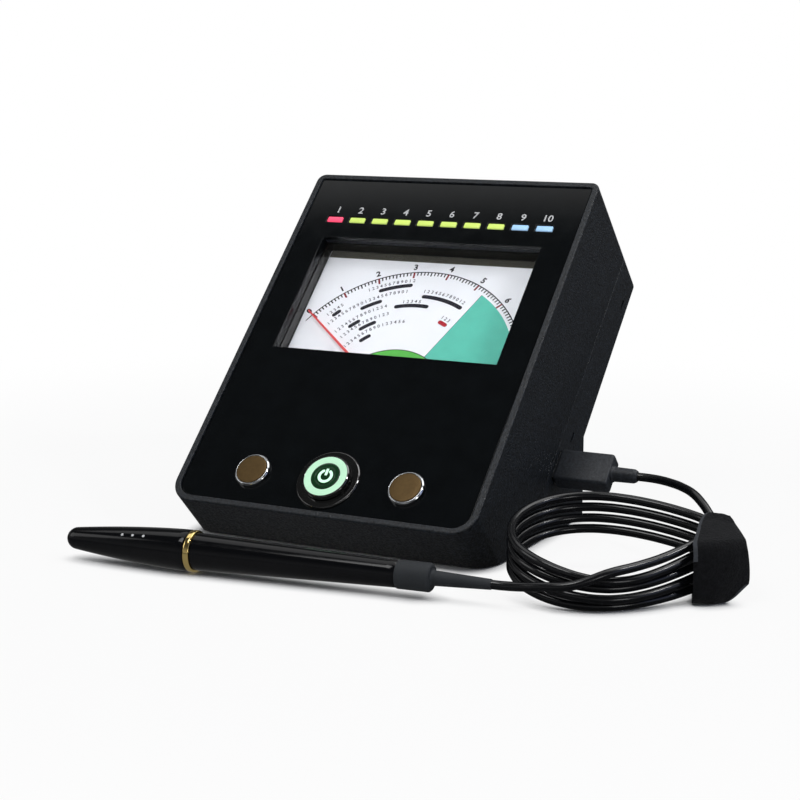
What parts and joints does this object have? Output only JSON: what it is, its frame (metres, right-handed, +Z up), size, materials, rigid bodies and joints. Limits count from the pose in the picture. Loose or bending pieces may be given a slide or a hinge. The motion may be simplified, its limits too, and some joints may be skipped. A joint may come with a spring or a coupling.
{
  "type": "gem tester",
  "caption": "Counter-top gem tester: leaning black case with a needle meter, a lamp row and push buttons, and a corded pen probe whose lead is coiled in a strap.",
  "frame": {"origin": "on the table under the middle of the case's base, on the underside of the rear rubber pad", "axes": "+X to the user's right, -Y towards the user, +Z up; the front face leans back 44.4 degrees"},
  "size_m": [0.2638, 0.2193, 0.1436],
  "materials": {
    "textured_abs": "fine moulded texture",
    "gloss_black": "polished",
    "clear_pane": "clear acrylic",
    "meter_plastic": "moulded",
    "dial_paint": "matt white print",
    "needle_paint": "satin",
    "steel": "plated",
    "iron": "machined",
    "copper": "enamelled wire",
    "brass": "rolled",
    "lamp_red": "tinted lens",
    "lamp_green": "tinted lens",
    "lamp_blue": "tinted lens",
    "circuit_board": "solder mask",
    "chrome": "polished",
    "bronze_disc": "satin",
    "button_black": "polished",
    "lit_ring": "translucent",
    "black_plastic": "moulded",
    "rubber_pad": "matt",
    "cord_jacket": "smooth",
    "strap_weave": "hook and loop",
    "probe_black": "polished",
    "gold_trim": "polished",
    "grey_collar": "matt",
    "probe_nose": "moulded"
  },
  "bodies": {
    "case": {"front_shell": "textured_abs", "rear_cover": "textured_abs", "cover_screws": "steel", "base_pads": "rubber_pad", "front_panel": "gloss_black", "window_pane": "clear_pane", "meter_case": "meter_plastic", "meter_screws": "steel", "dial_plate": "dial_paint", "dial_screws": "steel", "hairspring": "brass", "meter_core": "iron", "meter_magnet": "iron", "meter_yoke": "iron", "front_bridge": "brass", "rear_bridge": "brass", "led_red": "lamp_red", "led_green": "lamp_green", "led_blue": "lamp_blue", "led_board": "circuit_board", "led_board_screws": "steel", "left_bezel": "chrome", "left_nut": "steel", "left_spring": "steel", "left_switch": "black_plastic", "right_bezel": "chrome", "right_nut": "steel", "right_spring": "steel", "right_switch": "black_plastic", "power_bezel": "button_black", "power_nut": "steel", "power_spring": "steel", "power_switch": "black_plastic", "main_board": "circuit_board", "board_screws": "steel", "usb_socket": "chrome", "buzzer": "black_plastic", "power_jack": "black_plastic", "plug_body": "black_plastic", "plug_shell": "chrome", "cord_plug_run": "cord_jacket", "cord_coil": "cord_jacket", "cord_probe_run": "cord_jacket", "coil_strap": "strap_weave", "probe_barrel": "probe_black", "probe_ring": "gold_trim", "probe_collar": "grey_collar", "probe_nose": "probe_nose", "probe_tip_spring": "steel"},
    "needle": {"needle": "needle_paint", "spindle": "steel", "moving_coil": "copper"},
    "power_button": {"power_cap": "button_black", "power_halo": "lit_ring"},
    "left_button": {"left_cap": "bronze_disc"},
    "right_button": {"right_cap": "bronze_disc"},
    "probe_cap": {"probe_cap": "probe_black"},
    "probe_tip": {"probe_tip": "copper"}
  },
  "joints": [
    {"name": "needle_swing", "type": "hinge", "parent": "case", "child": "needle", "pos_m": [0.001, -0.01019, 0.06163], "axis": [0, 0.6997, -0.7145], "range_deg": [0, 103], "stiffness_Nm_per_rad": 0.00003, "springref_deg": -11.46, "deforming": ["hairspring"]},
    {"name": "power_press", "type": "slide", "parent": "case", "child": "power_button", "axis": [0, 0.6997, -0.7145], "range_m": [0, 0.002], "stiffness_N_per_m": 900, "springref_m": -0.0015, "deforming": ["power_spring"]},
    {"name": "left_press", "type": "slide", "parent": "case", "child": "left_button", "axis": [0, 0.6997, -0.7145], "range_m": [0, 0.0006], "stiffness_N_per_m": 900, "springref_m": -0.001, "deforming": ["left_spring"]},
    {"name": "right_press", "type": "slide", "parent": "case", "child": "right_button", "axis": [0, 0.6997, -0.7145], "range_m": [0, 0.0006], "stiffness_N_per_m": 900, "springref_m": -0.001, "deforming": ["right_spring"]},
    {"name": "cap_pull", "type": "slide", "parent": "case", "child": "probe_cap", "axis": [-0.9956, -0.0941, 0], "range_m": [0, 0.06]},
    {"name": "tip_press", "type": "slide", "parent": "case", "child": "probe_tip", "axis": [0.9956, 0.0941, 0], "range_m": [0, 0.0015], "stiffness_N_per_m": 250, "springref_m": -0.001, "deforming": ["probe_tip_spring"]}
  ]
}
